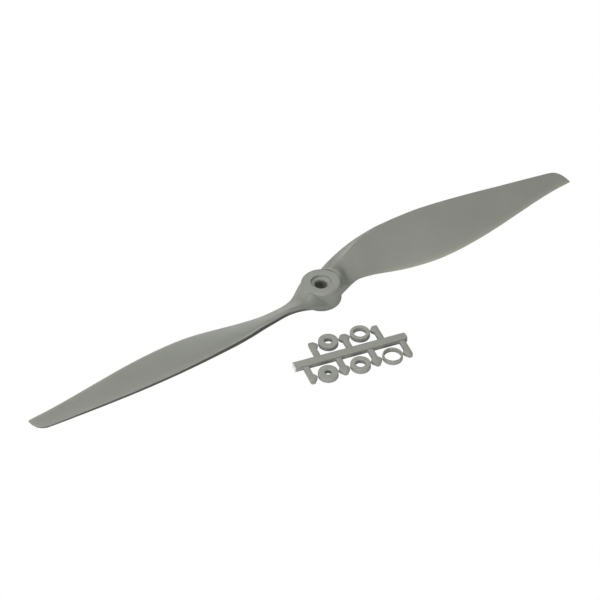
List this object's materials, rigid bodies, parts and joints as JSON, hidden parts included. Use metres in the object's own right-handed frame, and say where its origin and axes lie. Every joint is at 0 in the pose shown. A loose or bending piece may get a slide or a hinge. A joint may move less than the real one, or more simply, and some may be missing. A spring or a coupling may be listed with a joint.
{
  "type": "model aeroplane propeller",
  "caption": "Propeller for an electric model aeroplane, with a bored and recessed hub, and a moulded tree of shaft adapter rings lying beside it.",
  "frame": {"origin": "on the shaft bore's axis, in the plane of the hub's rear face, on which the propeller lies", "axes": "+Z along the bore towards the hub's front face, +X along the blades through both tips' trailing corners"},
  "size_m": [0.3302, 0.0798, 0.0161],
  "materials": {
    "propeller_nylon": "glass-filled nylon, moulded satin grey",
    "runner_nylon": "glass-filled nylon, moulded satin grey, with a pale torn end",
    "ring_nylon": "glass-filled nylon, moulded satin grey"
  },
  "bodies": {
    "propeller": {"propeller": "propeller_nylon"},
    "ring_tree": {"runner": "runner_nylon"},
    "ring_bore_3": {"ring_bore_3": "ring_nylon"},
    "ring_bore_5": {"ring_bore_5": "ring_nylon"},
    "ring_bore_8": {"ring_bore_8": "ring_nylon"},
    "ring_bore_4": {"ring_bore_4": "ring_nylon"},
    "ring_bore_6": {"ring_bore_6": "ring_nylon"}
  },
  "joints": [
    {"name": "tree_lift", "type": "slide", "parent": "propeller", "child": "ring_tree", "axis": [0, 0, 1], "range_m": [0, 0.06]},
    {"name": "ring_bore_3_twist", "type": "hinge", "parent": "ring_tree", "child": "ring_bore_3", "pos_m": [-0.02824, -0.04894, 0.00133], "axis": [0.9774, -0.2113, 0], "range_deg": [-30, 30], "stiffness_Nm_per_rad": 0.02},
    {"name": "ring_bore_5_twist", "type": "hinge", "parent": "ring_tree", "child": "ring_bore_5", "pos_m": [-0.01163, -0.05254, 0.00133], "axis": [0.9774, -0.2113, 0], "range_deg": [-30, 30], "stiffness_Nm_per_rad": 0.02},
    {"name": "ring_bore_8_twist", "type": "hinge", "parent": "ring_tree", "child": "ring_bore_8", "pos_m": [0.00499, -0.05613, 0.00133], "axis": [0.9774, -0.2113, 0], "range_deg": [-30, 30], "stiffness_Nm_per_rad": 0.02},
    {"name": "ring_bore_4_twist", "type": "hinge", "parent": "ring_tree", "child": "ring_bore_4", "pos_m": [-0.01597, -0.03052, 0.00133], "axis": [0.9774, -0.2113, 0], "range_deg": [-30, 30], "stiffness_Nm_per_rad": 0.02},
    {"name": "ring_bore_6_twist", "type": "hinge", "parent": "ring_tree", "child": "ring_bore_6", "pos_m": [0.00064, -0.03411, 0.00133], "axis": [0.9774, -0.2113, 0], "range_deg": [-30, 30], "stiffness_Nm_per_rad": 0.02}
  ]
}
